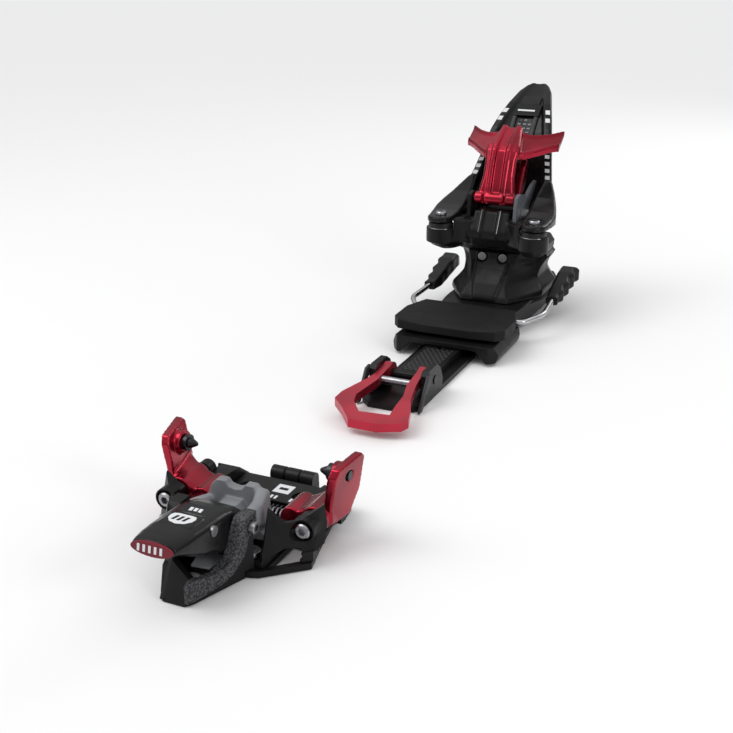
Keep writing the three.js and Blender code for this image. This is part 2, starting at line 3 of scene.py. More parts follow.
import bmesh
import bpy
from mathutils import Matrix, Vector


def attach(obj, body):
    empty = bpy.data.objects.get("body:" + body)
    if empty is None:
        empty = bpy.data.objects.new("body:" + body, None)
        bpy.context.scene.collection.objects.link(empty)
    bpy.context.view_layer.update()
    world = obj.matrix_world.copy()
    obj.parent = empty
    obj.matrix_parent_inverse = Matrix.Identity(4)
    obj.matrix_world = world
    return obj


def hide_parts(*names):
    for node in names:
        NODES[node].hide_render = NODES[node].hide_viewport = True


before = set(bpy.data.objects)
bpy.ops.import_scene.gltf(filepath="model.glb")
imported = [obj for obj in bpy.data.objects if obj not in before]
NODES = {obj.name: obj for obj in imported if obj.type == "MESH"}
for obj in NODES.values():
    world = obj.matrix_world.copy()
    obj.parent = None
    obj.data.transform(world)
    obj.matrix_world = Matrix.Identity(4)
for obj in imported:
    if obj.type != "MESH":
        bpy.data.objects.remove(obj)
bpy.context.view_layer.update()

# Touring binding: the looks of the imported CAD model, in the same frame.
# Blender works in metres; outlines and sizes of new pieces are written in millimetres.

MM = 0.001
SIDES = ((1, "right"), (-1, "left"))

# Shared positions, in millimetres.
TOE_AXLE_Y, TOE_AXLE_Z = -40, 24
WING_PIVOT_X, WING_PIVOT_Z = 34.4, 17
WING_PIVOT_HOLE = 2.9
PIN_Z = 34.7
ROLLER_X, ROLLER_Y = 33, 316
CUP_Y = 316.6
FRONT_AID_Y, FRONT_AID_Z = 333, 84
REAR_AID_Y, REAR_AID_Z = 345.5, 80.6
TURRET_Y = 362


# ---- Camera, floor and lights ----------------------------------------------

def aim(obj, direction):
    obj.rotation_euler = Vector(direction).to_track_quat("-Z", "Y").to_euler()


def make_camera():
    azimuth, elevation = math.radians(24.3), math.radians(21.1)
    data = bpy.data.cameras.new("camera")
    data.sensor_width = 36
    data.lens = 54.32
    data.clip_start, data.clip_end = 0.01, 50
    camera = bpy.data.objects.new("camera", data)
    bpy.context.scene.collection.objects.link(camera)
    camera.location = (0.228, -0.3869, 0.2501)
    aim(camera, (-math.sin(azimuth) * math.cos(elevation),
                 math.cos(azimuth) * math.cos(elevation), -math.sin(elevation)))
    bpy.context.scene.camera = camera


def light(kind, name, location, target, energy, **settings):
    data = bpy.data.lights.new(name, kind)
    data.energy = energy
    for key, value in settings.items():
        setattr(data, key, value)
    obj = bpy.data.objects.new(name, data)
    bpy.context.scene.collection.objects.link(obj)
    obj.location = location
    aim(obj, Vector(target) - Vector(location))


def make_world():
    """A soft studio sky: bright overhead and dimmer towards the horizon."""
    world = bpy.data.worlds.new("studio")
    world.use_nodes = True
    tree = world.node_tree
    coords = tree.nodes.new("ShaderNodeTexCoord")
    parts = tree.nodes.new("ShaderNodeSeparateXYZ")
    ramp = tree.nodes.new("ShaderNodeValToRGB")
    stops = ramp.color_ramp.elements
    stops[0].position, stops[0].color = 0.0, (0.14, 0.145, 0.15, 1)
    stops[1].position, stops[1].color = 0.8, (1.15, 1.15, 1.15, 1)
    tree.links.new(coords.outputs["Generated"], parts.inputs[0])
    tree.links.new(parts.outputs["Z"], ramp.inputs["Fac"])
    tree.links.new(ramp.outputs["Color"], tree.nodes["Background"].inputs[0])
    tree.nodes["Background"].inputs[1].default_value = 0.80
    bpy.context.scene.world = world


def make_stage():
    scene = bpy.context.scene
    scene.view_settings.view_transform = "Standard"
    scene.view_settings.look = "None"
    make_world()
    light("SUN", "key", (-1.2, -0.6, 2.2), (0, 0.2, 0), 0.92, angle=math.radians(35))
    light("AREA", "left_strip", (-0.75, -0.25, 0.55), (0, 0.15, 0.03), 1.6, size=0.5)
    light("AREA", "right_strip", (0.75, -0.15, 0.4), (0, 0.15, 0.06), 1.2, size=0.25)
    light("AREA", "rear_strip", (0.35, 1.15, 0.6), (0, 0.3, 0.05), 1.4, size=0.4)
    mesh = bpy.data.meshes.new("floor")
    span = 12
    mesh.from_pydata([(-span, -span, 0), (span, -span, 0), (span, span, 0), (-span, span, 0)], [],
                     [(0, 1, 2, 3)])
    floor = bpy.data.objects.new("floor", mesh)
    scene.collection.objects.link(floor)
    floor.location.z = -0.0004
    floor.data.materials.append(plain("floor_white", (0.84, 0.84, 0.845), 0.9, specular=0.0))


# ---- Materials ---------------------------------------------------------------

NOISE_ROUGHNESS = 0.55


class Surface:
    """A Principled material and short calls for the nodes that feed it."""

    def __init__(self, name, color, roughness, metallic=0.0, specular=0.5):
        self.material = bpy.data.materials.new(name)
        self.material.use_nodes = True
        self.tree = self.material.node_tree
        self.shader = self.tree.nodes["Principled BSDF"]
        self.shader.inputs["Base Color"].default_value = (*color, 1)
        self.shader.inputs["Roughness"].default_value = roughness
        self.shader.inputs["Metallic"].default_value = metallic
        self.shader.inputs["Specular IOR Level"].default_value = specular

    def node(self, kind, **settings):
        made = self.tree.nodes.new(kind)
        for key, value in settings.items():
            setattr(made, key, value)
        return made

    def link(self, source, target):
        self.tree.links.new(source, target)

    def place(self, turn=(0, 0, 0)):
        coords = self.node("ShaderNodeTexCoord")
        mapping = self.node("ShaderNodeMapping")
        mapping.inputs["Rotation"].default_value = turn
        self.link(coords.outputs["Object"], mapping.inputs["Vector"])
        return mapping.outputs["Vector"]

    def noise(self, scale, detail):
        made = self.node("ShaderNodeTexNoise")
        made.inputs["Scale"].default_value = scale
        made.inputs["Detail"].default_value = detail
        made.inputs["Roughness"].default_value = NOISE_ROUGHNESS
        self.link(self.place(), made.inputs["Vector"])
        return made.outputs["Fac"]

    def ramp(self, source, stops):
        made = self.node("ShaderNodeValToRGB")
        elements = made.color_ramp.elements
        while len(elements) < len(stops):
            elements.new(0.5)
        for element, (position, value) in zip(elements, stops):
            element.position = position
            element.color = (*value, 1) if isinstance(value, tuple) else (value, value, value, 1)
        self.link(source, made.inputs["Fac"])
        return made.outputs["Color"]

    def bump(self, source, strength, distance):
        made = self.node("ShaderNodeBump")
        made.inputs["Strength"].default_value = strength
        made.inputs["Distance"].default_value = distance
        self.link(source, made.inputs["Height"])
        self.link(made.outputs["Normal"], self.shader.inputs["Normal"])

    def color(self, source):
        self.link(source, self.shader.inputs["Base Color"])

    def roughness(self, source):
        self.link(source, self.shader.inputs["Roughness"])


def plain(name, color, roughness, specular=0.5):
    return Surface(name, color, roughness, specular=specular).material


def moulded(name, color, roughness, grain=900, depth=0.12, specular=0.5):
    """Moulded plastic: fine spark-eroded grain and slow changes of tone and gloss."""
    s = Surface(name, color, roughness, specular=specular)
    tone = s.noise(45, 4)
    low = tuple(c * 0.8 for c in color)
    high = tuple(min(c * 1.25 + 0.002, 1) for c in color)
    s.color(s.ramp(tone, [(0.3, low), (0.7, high)]))
    s.roughness(s.ramp(s.noise(180, 5), [(0.25, roughness - 0.06), (0.8, roughness + 0.1)]))
    s.bump(s.noise(grain, 2), depth, 0.0002)
    return s.material


def anodised(name, color, roughness, coat, dark=0.55):
    """Red anodised metal: fine blasted grain, and broad blotches of darker tone painted in as soft
    reflections.
    """
    s = Surface(name, color, roughness, metallic=0.85, specular=0.6)
    s.shader.inputs["Coat Weight"].default_value = coat
    s.shader.inputs["Coat Roughness"].default_value = 0.16
    # Painted reflection: slow noise darkens the colour by the factor dark, in place of reflections of the
    # surroundings.
    s.color(s.ramp(s.noise(42, 1), [(0.36, tuple(c * dark for c in color)), (0.62, color)]))
    s.roughness(s.ramp(s.noise(60, 2), [(0.3, roughness - 0.06), (0.75, roughness + 0.08)]))
    s.bump(s.noise(1500, 2), 0.08, 0.0001)
    return s.material


def metal(name, color, roughness):
    """Bare metal: fine changes of tone and gloss."""
    s = Surface(name, color, roughness, metallic=1.0)
    s.color(s.ramp(s.noise(150, 4), [(0.3, tuple(c * 0.75 for c in color)), (0.7, color)]))
    s.roughness(s.ramp(s.noise(500, 4), [(0.3, roughness - 0.06), (0.8, roughness + 0.1)]))
    s.bump(s.noise(800, 3), 0.06, 0.0001)
    return s.material


def speckled(name):
    """The rails' coarse grip finish: small raised cells on dark grey."""
    s = Surface(name, (0.06, 0.06, 0.065), 0.6, specular=0.3)
    cells = s.node("ShaderNodeTexVoronoi")
    cells.inputs["Scale"].default_value = 1100
    s.link(s.place(), cells.inputs["Vector"])
    tones = [(0.0, (0.14, 0.14, 0.145)), (0.35, (0.065, 0.065, 0.07)), (0.7, (0.02, 0.02, 0.022))]
    s.color(s.ramp(cells.outputs["Distance"], tones))
    s.bump(cells.outputs["Distance"], 0.6, 0.0004)
    return s.material


def knurled(name):
    """Raised diamonds cut into dark plastic, with painted shade darkening the grooves between them."""
    s = Surface(name, (0.02, 0.02, 0.021), 0.5, specular=0.3)
    heights = []
    for turn in (math.radians(33), math.radians(-33)):
        wave = s.node("ShaderNodeTexWave")
        wave.inputs["Scale"].default_value = 110
        s.link(s.place(turn=(0, 0, turn)), wave.inputs["Vector"])
        heights.append(wave.outputs["Fac"])
    mix = s.node("ShaderNodeMath", operation="MULTIPLY")
    s.link(heights[0], mix.inputs[0])
    s.link(heights[1], mix.inputs[1])
    # Painted shade: the colour follows the diamonds' height and is darkest down in the grooves.
    s.color(s.ramp(mix.outputs[0], [(0.05, (0.004, 0.004, 0.004)), (0.5, (0.035, 0.035, 0.037))]))
    s.bump(mix.outputs[0], 0.8, 0.0005)
    return s.material


MATERIALS = {
    "black": moulded("black_moulding", (0.0062, 0.0063, 0.0068), 0.34, specular=0.17),
    "black_gloss": moulded("black_gloss_moulding", (0.0048, 0.0048, 0.0053), 0.2, depth=0.04, specular=0.22),
    "red": anodised("red_anodised", (0.37, 0.007, 0.027), 0.25, 0.2),
    "loop_red": anodised("red_anodised_loop", (0.55, 0.026, 0.055), 0.33, 0.2, dark=0.75),
    "inlay": moulded("red_moulding", (0.15, 0.006, 0.017), 0.45, specular=0.3),
    "grey": moulded("grey_moulding", (0.2, 0.205, 0.22), 0.45, specular=0.35),
    "side_grey": moulded("dark_grey_moulding", (0.03, 0.031, 0.035), 0.5, specular=0.3),
    "grip": speckled("speckled_grip"),
    "steel": metal("bright_steel", (0.4, 0.4, 0.42), 0.3),
    "wire": metal("wire_steel", (0.62, 0.62, 0.64), 0.2),
    "dark_steel": metal("dark_steel", (0.05, 0.05, 0.055), 0.32),
    "grey_steel": metal("grey_steel", (0.27, 0.27, 0.28), 0.38),
    "pad": moulded("pad_rubber", (0.0055, 0.0055, 0.0058), 0.62, grain=1400, depth=0.25, specular=0.2),
    "roller": moulded("roller_polymer", (0.006, 0.006, 0.0065), 0.35, specular=0.28),
    "white": plain("print_white", (0.7, 0.71, 0.73), 0.5),
    "web_grey": moulded("blue_grey_moulding", (0.115, 0.12, 0.135), 0.4, specular=0.35),
    "knurl": knurled("knurled_black"),
}


# ---- Finishing the CAD nodes ---------------------------------------------------

def node_group(name, build):
    group = bpy.data.node_groups.new(name, "GeometryNodeTree")
    group.interface.new_socket("Geometry", in_out="INPUT", socket_type="NodeSocketGeometry")
    group.interface.new_socket("Geometry", in_out="OUTPUT", socket_type="NodeSocketGeometry")
    start, end = group.nodes.new("NodeGroupInput"), group.nodes.new("NodeGroupOutput")
    last = start.outputs[0]
    for step in build(group):
        group.links.new(last, step.inputs[0])
        last = step.outputs[0]
    group.links.new(last, end.inputs[0])
    return group


def weld_steps(group):
    clear = group.nodes.new("GeometryNodeRemoveAttribute")
    clear.inputs["Name"].default_value = "custom_normal"
    weld = group.nodes.new("GeometryNodeMergeByDistance")
    weld.inputs["Distance"].default_value = 2e-6
    return [clear, weld]


def smooth_steps(group):
    angle = group.nodes.new("GeometryNodeInputMeshEdgeAngle")
    small = group.nodes.new("FunctionNodeCompare")
    small.operation = "LESS_THAN"
    small.inputs[1].default_value = math.radians(34)
    group.links.new(angle.outputs[0], small.inputs[0])
    edges = group.nodes.new("GeometryNodeSetShadeSmooth")
    edges.domain = "EDGE"
    group.links.new(small.outputs[0], edges.inputs["Shade Smooth"])
    faces = group.nodes.new("GeometryNodeSetShadeSmooth")
    faces.domain = "FACE"
    return [edges, faces]


WELD = node_group("weld", weld_steps)
SMOOTH = node_group("smooth_by_angle", smooth_steps)


FLAT_ANGLE = math.radians(1.5)
BEVEL_ANGLE = math.radians(28)


def with_modifiers(obj, width, segments=2, weld=True):
    """Welds and flattens a CAD mesh, rounds its edges by a width in millimetres and smooths it."""
    if weld:
        obj.modifiers.new("weld", "NODES").node_group = WELD
        flat = obj.modifiers.new("flat", "DECIMATE")
        flat.decimate_type = "DISSOLVE"
        flat.angle_limit = FLAT_ANGLE
    if width:
        bevel = obj.modifiers.new("edges", "BEVEL")
        bevel.width = width * MM
        bevel.segments = segments
        bevel.limit_method = "ANGLE"
        bevel.angle_limit = BEVEL_ANGLE
        bevel.use_clamp_overlap = True
        bevel.miter_outer = "MITER_ARC"
    obj.modifiers.new("smooth", "NODES").node_group = SMOOTH
    normals = obj.modifiers.new("normals", "WEIGHTED_NORMAL")
    normals.keep_sharp = True


def dress(names, material, width=0.6, segments=2):
    """Gives CAD nodes their finish and softens their edges."""
    for name in names.split():
        obj = NODES[name]
        obj.data.materials.clear()
        obj.data.materials.append(MATERIALS[material])
        with_modifiers(obj, width, segments)


# ---- Building new pieces -------------------------------------------------------
# A solid is (points, faces), with points in millimetres in the shared frame.

AXES = {"x": lambda a, b, h: (h, a, b), "y": lambda a, b, h: (a, h, b), "z": lambda a, b, h: (a, b, h)}


def prism(axis, points, low, high):
    """A closed outline pushed along an axis: [y, z] along x, [x, z] along y, [x, y] along z."""
    at, n = AXES[axis], len(points)
    verts = [at(a, b, low) for a, b in points] + [at(a, b, high) for a, b in points]
    faces = [list(range(n)), list(range(n, 2 * n))]
    return verts, faces + [[i, (i + 1) % n, n + (i + 1) % n, n + i] for i in range(n)]


def loft(rings):
    """Rings with the same number of points, joined one after the other and closed at both ends."""
    n, verts, faces = len(rings[0]), [p for ring in rings for p in ring], []
    for r in range(len(rings) - 1):
        for i in range(n):
            j = (i + 1) % n
            faces.append([r * n + i, r * n + j, (r + 1) * n + j, (r + 1) * n + i])
    return verts, faces + [list(range(n)), list(range(len(verts) - n, len(verts)))]


def rod(axis, radius, low, high, a, b, sides=28):
    turn = [2 * math.pi * i / sides for i in range(sides)]
    return prism(axis, [(a + radius * math.cos(t), b + radius * math.sin(t)) for t in turn], low, high)


def flip(solid):
    """The mirror image on the other side of the binding."""
    return [(-x, y, z) for x, y, z in solid[0]], solid[1]


def on_side(solid, sign):
    return solid if sign > 0 else flip(solid)


def both(*solids):
    return [s for solid in solids for s in (solid, flip(solid))]


def mirror_half(half):
    return half + [(-x, v) for x, v in reversed(half) if x]


def tube(path, radius, sides):
    """A round bar along a path of points, turning smoothly."""
    points = [Vector(p) for p in path]
    rings, side = [], None
    for i, p in enumerate(points):
        ahead = (points[min(i + 1, len(points) - 1)] - points[max(i - 1, 0)]).normalized()
        if side is None:
            side = ahead.orthogonal().normalized()
        side = (side - ahead * side.dot(ahead)).normalized()
        up = ahead.cross(side)
        rings.append([tuple(p + radius * (math.cos(t) * side + math.sin(t) * up))
                      for t in (2 * math.pi * k / sides for k in range(sides))])
    return loft(rings)


def rounded(points, corner, steps=6):
    """A path whose inner corners are replaced by short arcs."""
    path = [Vector(points[0])]
    for a, b, c in zip(points, points[1:], points[2:]):
        a, b, c = Vector(a), Vector(b), Vector(c)
        start, end = b + (a - b).normalized() * corner, b + (c - b).normalized() * corner
        for k in range(steps + 1):
            t = k / steps
            path.append(start * (1 - t) ** 2 + b * 2 * t * (1 - t) + end * t ** 2)
    return path + [Vector(points[-1])]


def mesh_of(name, solids):
    bm = bmesh.new()
    for points, faces in solids:
        verts = [bm.verts.new(Vector(p) * MM) for p in points]
        for face in faces:
            bm.faces.new([verts[i] for i in face])
    bmesh.ops.recalc_face_normals(bm, faces=bm.faces)
    mesh = bpy.data.meshes.new(name)
    bm.to_mesh(mesh)
    bm.free()
    return mesh


def add_object(name, mesh):
    obj = bpy.data.objects.new(name, mesh)
    bpy.context.scene.collection.objects.link(obj)
    return obj


def bake(obj):
    """Applies an object's modifiers to its mesh."""
    graph = bpy.context.evaluated_depsgraph_get()
    mesh = bpy.data.meshes.new_from_object(obj.evaluated_get(graph))
    obj.modifiers.clear()
    obj.data = mesh


def settle(obj, body, material, replaced=""):
    obj.data.materials.clear()
    obj.data.materials.append(MATERIALS[material])
    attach(obj, body)
    if replaced:
        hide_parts(*replaced.split())
    return obj


def crisp(name, solids, body, material, replaced="", width=0.0):
    """A piece with its faces as given and its edges bevelled."""
    obj = add_object(name, mesh_of(name, solids))
    with_modifiers(obj, width, weld=False)
    return settle(obj, body, material, replaced)


def voxels(obj, size):
    remesh = obj.modifiers.new("voxels", "REMESH")
    remesh.mode = "VOXEL"
    remesh.voxel_size = size * MM
    remesh.use_smooth_shade = True


def melt(name, solids, body, material, replaced="", voxel=0.7, rounds=6, cuts=()):
    """A moulded or forged piece: overlapping solids fused into one skin with soft edges."""
    obj = add_object(name, mesh_of(name, solids))
    voxels(obj, voxel)
    if cuts:
        bake(obj)
        tool = add_object(name + "_tool", mesh_of(name + "_tool", cuts))
        voxels(tool, voxel * 0.6)
        bake(tool)
        hole = obj.modifiers.new("hole", "BOOLEAN")
        hole.operation, hole.solver, hole.object = "DIFFERENCE", "EXACT", tool
        bake(obj)
        bpy.data.objects.remove(tool)
        voxels(obj, voxel)
    smooth = obj.modifiers.new("soften", "SMOOTH")
    smooth.factor, smooth.iterations = 0.5, rounds
    bake(obj)
    for polygon in obj.data.polygons:
        polygon.use_smooth = True
    return settle(obj, body, material, replaced)


def carved(name, body, material, cuts, width):
    """A copy of a CAD node with openings cut through it."""
    source = NODES[name]
    obj = add_object(name + "_body", source.data.copy())
    obj.matrix_world = source.matrix_world.copy()
    obj.modifiers.new("weld", "NODES").node_group = WELD
    bake(obj)
    tool = add_object(name + "_tool", mesh_of(name + "_tool", cuts))
    hole = obj.modifiers.new("hole", "BOOLEAN")
    hole.operation, hole.solver, hole.object, hole.use_self = "DIFFERENCE", "EXACT", tool, True
    bake(obj)
    bpy.data.objects.remove(tool)
    with_modifiers(obj, width)
    return settle(obj, body, material, name)


def socket_head(axis, sign, a, b, base, radius, height, hexagon, depth, sides=24):
    """A screw head with a hexagon socket, looking along an axis from base."""
    def circle(r, h):
        return [AXES[axis](a + r * math.cos(t), b + r * math.sin(t), base + sign * h)
                for t in (2 * math.pi * k / sides for k in range(sides))]

    def hexagonal(h):
        ring = []
        for k in range(sides):
            t = 2 * math.pi * k / sides
            inside = (t % (math.pi / 3)) - math.pi / 6
            r = hexagon * math.cos(math.pi / 6) / math.cos(inside)
            ring.append(AXES[axis](a + r * math.cos(t), b + r * math.sin(t), base + sign * h))
        return ring
    chamfer = 0.16 * radius
    return loft([circle(radius, 0), circle(radius, height - chamfer), circle(radius - chamfer, height),
                 hexagonal(height), hexagonal(height - depth)])


def coil(x0, x1, y, z, radius, wire, turns, steps_per_turn=16):
    """A wire wound round a line along x."""
    steps = turns * steps_per_turn
    path = []
    for i in range(steps + 1):
        t = 2 * math.pi * i / steps_per_turn
        path.append((x0 + (x1 - x0) * i / steps, y + radius * math.cos(t), z + radius * math.sin(t)))
    return tube(path, wire, 8)


def bar(x, low, high, width, slant=0.0):
    """The outline of a plain bar between two lines, pushed sideways by slant at its far end."""
    return [(x, low), (x + width, low), (x + (width + slant), high), (x + slant, high)]


# ---- Toe piece -------------------------------------------------------------------

dress("toe_base_plate", "black", 0.7)
dress("toe_deck_plate crampon_receptacle", "black", 0.5)
dress("toe_rail_right", "grip", 0.6)
dress("toe_pin_right toe_pin_left", "dark_steel", 0.2)
dress("toe_lever_inlay", "inlay", 0.3)
dress("toe_screw_1 toe_screw_2 toe_screw_3 toe_screw_4", "steel", 0.4)


def behind_wall(z):
    """The space behind the front wall's raked face, which leaves the wall 2.2 mm thick."""
    front = [(x, 0.918 * (x - 22) - 37.8) for x in (19, 30)]
    return [(x, y + 0.36 * z, z) for x, y in front + [(30, -17), (19, -17)]]


# A see-through opening low on each side, thinner front walls with lower tops, and a lower inner
# shoulder on the left.
WINDOW = [(22.6, 5.0), (24.5, 8.2), (29, 10.6), (34.4, 9.6), (35.4, 5.0)]
WINDOW_FLOOR = [(22.6, -42), (34.2, -42), (34.2, -13), (22.6, -13)]
WALL_TOP = [(20, 28.9), (22.7, 26), (24.9, 23.4), (27.4, 21.2), (30.4, 21), (34.9, 22.6), (39.3, 25.8),
            (42, 27)]
LEFT_SHOULDER = [(-27.8, 40), (-27.8, 23.5), (-24, 19), (-17, 17), (-17, 40)]
HOUSING_CUTS = [*both(prism("y", WINDOW, -46, -19),
                      prism("z", WINDOW_FLOOR, 2.2, 8.0),
                      loft([behind_wall(12), behind_wall(34)]),
                      prism("y", [(20, 45), *WALL_TOP, (42, 45)], -46, -13)),
                prism("y", LEFT_SHOULDER, -46, -13)]
carved("toe_housing", "bases", "black", HOUSING_CUTS, 0.7)
# The nose: the left rail's front end and the plate's upper right are cut away.
# Painted shade: the left rail is plain black, a darker copy of the right rail's speckled grip.
carved("toe_rail_left", "bases", "black",
       [prism("x", [(-75, -2), (-70.6, -2), (-58.6, 13), (-57, 16), (-75, 16)], -14, -3)], 0.6)
carved("toe_front_frame", "bases", "black",
       [prism("y", [(-8, 13.8), (2.3, 9.0), (4.8, 8.0), (7.4, 7.4), (7.4, 20), (-8, 20)], -74, -52)], 0.6)
crisp("nose_flare", [loft([[(-7.4, -70.5, 0.3), (-4.8, -71, 0.3), (-4.8, -66, 0.3), (-7.4, -66, 0.3)],
                           [(-9, -59.5, 13.2), (-6.4, -59.8, 13.2), (-6.4, -56, 13.2), (-9, -56, 13.2)]])],
      "bases", "black", width=0.4)
# A grey plate on the frame's floor: its grey paints the light that this floor catches inside the nose.
crisp("frame_glint_plate", [prism("z", [(-0.9, -56), (7.4, -55), (9.4, -43), (-3.4, -46)], 8.8, 9.8)],
      "bases", "grey", width=0.3)


def superellipse(half_width, low, high, y, power, sides=36):
    """A ring across y that is an ellipse at power 2 and squarer above it."""
    middle, half_height = (low + high) / 2, (high - low) / 2
    ring = []
    for k in range(sides):
        c, s = math.cos(2 * math.pi * k / sides), math.sin(2 * math.pi * k / sides)
        ring.append((math.copysign(abs(c) ** (2 / power), c) * half_width, y,
                     middle + math.copysign(abs(s) ** (2 / power), s) * half_height))
    return ring


LEVER = [(-81.6, 10.0, 28.2, 34.8, 2.1), (-79, 10.8, 27.4, 35.0, 2.3), (-74, 11.6, 25.0, 35.0, 2.8),
         (-69, 12.0, 22.4, 34.6, 3.4), (-63, 12.2, 19.6, 34.0, 4), (-57, 12.3, 17.6, 33.4, 4.6),
         (-52, 12.4, 14.6, 33.0, 5), (-46, 12.4, 12.9, 32.4, 5), (-41, 12.3, 12.8, 31.2, 5),
         (-36, 12.0, 14.2, 29.6, 4.5), (-32, 11.4, 17.5, 26.6, 4)]
PLATE = [(-68.5, 34.2, 0.9), (-66.5, 34.5, 1.0), (-57, 34.1, 1.0), (-55, 33.6, 0.9)]
melt("toe_lever_body",
     [loft([superellipse(w, low, high, y, power) for y, w, low, high, power in LEVER]),
      loft([[(7.4 * k, y, z), (-7.4 * k, y, z), (-7.8 * k, y, z - 4), (7.8 * k, y, z - 4)]
            for y, z, k in PLATE])],
     "toe_lever", "black_gloss", "toe_lever", voxel=0.5, rounds=4)


def on_plate(y):
    """The height of the lever's label plate."""
    return 34.5 + (y + 66.5) * (34.1 - 34.5) / 9.5


def flat_mark(points, lift=0.16, thick=0.12):
    """A thin printed mark that follows the lever's label plate."""
    low = [(x, y, on_plate(y) + lift - thick) for x, y in points]
    high = [(x, y, on_plate(y) + lift) for x, y in points]
    n = len(points)
    return low + high, [list(range(n)), list(range(n, 2 * n))] + [
        [i, (i + 1) % n, n + (i + 1) % n, n + i] for i in range(n)]


crisp("lever_side_studs", [rod("x", 2.3, -12.9, 12.9, -57.4, 29.3)], "toe_lever", "grey_steel",
      "toe_lever_pin", width=0.3)
SHIELD = [(0, -66.3), (3.6, -65.2), (5.6, -62.6), (5.9, -60.2), (5.2, -58.4), (3.2, -57.9)]
crisp("lever_mark", [flat_mark(SHIELD + [(-x, y) for x, y in reversed(SHIELD[1:])])], "toe_lever", "white")
crisp("lever_mark_bars", [flat_mark(bar(x, -63.6, -59.8, 1.3, 0.8), 0.24) for x in (-3.8, -1.3, 1.2)],
      "toe_lever", "black")
crisp("lever_small_mark",
      [prism("z", bar(x, -52.6, -49.4, 1.5, -0.4), 32.5, 33.0) for x in (-2.9, -0.7, 1.5)],
      "toe_lever", "white")
crisp("lever_tip_marks",
      [prism("y", bar(x, 30.0, 33.2, 1.1, 0.4), -83.2, -82.9) for x in (-6.6, -4.0, -1.4, 1.2, 3.8)],
      "toe_lever", "white")

# Boot stop: a thin upright with two prongs, a base, and cheeks that run forward to the rails.
UPRIGHT = [(18.2, 9.6), (18.2, 14), (14.2, 22), (12.2, 28), (9.4, 31), (5.0, 31), (3.4, 28.8), (0, 28.2)]
CHEEK = [(-15.2, 8.4, 14.6, 12, 28.4), (-19, 9.6, 15.6, 13, 30.6), (-23, 11.2, 16.8, 15, 30.4),
         (-28, 12.9, 18.1, 18.5, 29.8), (-34.8, 13.5, 18.2, 21.2, 29.3)]
LOW_CHEEK = [(-15.2, 8.4, 14.6, 12, 22), (-19, 9.6, 15.6, 13, 22.6), (-23, 11.2, 16.8, 14, 23.2),
             (-28, 12.9, 18.1, 16, 24), (-34.8, 13.5, 18.2, 18, 25)]


def box_rings(stations):
    """Rectangles across y with their two upper corners cut."""
    c = 1.2
    return [[(x0, y, z0), (x1, y, z0), (x1, y, z1 - c), (x1 - c, y, z1), (x0 + c, y, z1), (x0, y, z1 - c)]
            for y, x0, x1, z0, z1 in stations]


melt("boot_stop_body",
     [prism("y", mirror_half(UPRIGHT), -20.5, -15.6),
      prism("y", mirror_half([(16.8, 9.9), (17.6, 13), (10.5, 17), (4, 24), (0, 24)]), -27, -17),
      loft(box_rings(CHEEK)), flip(loft(box_rings(LOW_CHEEK))),
      prism("z", mirror_half([(10, -26.5), (10, -16)]), 6.4, 11)],
     "bases", "grey", "boot_stop", voxel=0.5, rounds=5)

# Wings: an ear that leans out, a curved arm down to its spring seat, and bosses for pin and pivot.
EAR_SIDE = [(-6, 12.5), (-10.6, 21), (-11, 37), (-8.8, 40.6), (7.6, 42.8), (10.2, 40.5), (10.6, 24), (6, 13)]
WING_ARM = [(41.4, -9.4, 9.0, 15, 26.4), (38, -11.4, 7.6, 11.4, 24.2), (34, -12.7, 5.4, 11, 22.9),
            (30, -12.7, 4.8, 10.4, 21.6), (26, -12.5, 4.5, 10, 19.9), (21.5, -12.2, 4.4, 10, 17.4),
            (18.3, -11.8, 4.2, 11, 15.2)]


def lean(solid):
    """Tilts an ear outward as it rises and as it runs back."""
    return [(x + 0.17 * z + 0.17 * y, y, z) for x, y, z in solid[0]], solid[1]


def arm_ring(x, y0, y1, z0, z1):
    """The wing arm's section at one x, with cut upper corners."""
    c = 1.6
    return [(x, y0, z0), (x, y1, z0), (x, y1, z1 - c), (x, y1 - c, z1), (x, y0 + c, z1 - 0.4),
            (x, y0, z1 - c)]


WING = [lean(prism("x", EAR_SIDE, 35.4, 39.5)), loft([arm_ring(*station) for station in WING_ARM]),
        rod("y", 6, -13, 5, WING_PIVOT_X, WING_PIVOT_Z), rod("y", 5.3, -12.5, 4.5, 22.5, 14.6),
        rod("x", 5.4, 38.1, 42.6, 0, PIN_Z)]
for sign, label in SIDES:
    pin_start, pin_end = sorted((sign * 30, sign * 50))
    melt("wing_body_" + label, [on_side(solid, sign) for solid in WING], "wing_" + label,
         "red", "toe_wing_" + label, voxel=0.45, rounds=5,
         cuts=[rod("y", WING_PIVOT_HOLE, -20, 12, sign * WING_PIVOT_X, WING_PIVOT_Z),
               rod("x", 2.6, pin_start, pin_end, 0, PIN_Z)])

WING_COILS = (("front", -7.6, 11.9, 3.1, "steel"), ("rear", -0.6, 9.8, 2.4, "dark_steel"))
for sign, label in SIDES:
    pivot_x = sign * WING_PIVOT_X
    crisp("pivot_head_" + label,
          [socket_head("y", -1, pivot_x, WING_PIVOT_Z, -21.6, 3.5, 3.0, 1.9, 2.0),
           rod("y", 2.5, -22, 15, pivot_x, WING_PIVOT_Z)],
          "bases", "steel", "wing_pivot_pin_" + label)
    for place, y, z, radius, material in WING_COILS:
        crisp(f"wing_coil_{place}_{label}",
              [coil(sign * 4.6, sign * 17.4, y, z, radius, 0.5, 6)],
              "bases", material, f"wing_spring_{place}_{label}")
crisp("lever_axle_heads",
      [rod("x", 2.5, -20, 20, TOE_AXLE_Y, TOE_AXLE_Z),
       socket_head("x", 1, TOE_AXLE_Y, TOE_AXLE_Z, 19.5, 2.7, 2.3, 1.5, 1.6),
       socket_head("x", -1, TOE_AXLE_Y, TOE_AXLE_Z, -19.5, 3.1, 1.2, 1.6, 0.8)],
      "bases", "grey_steel", "toe_lever_axle")

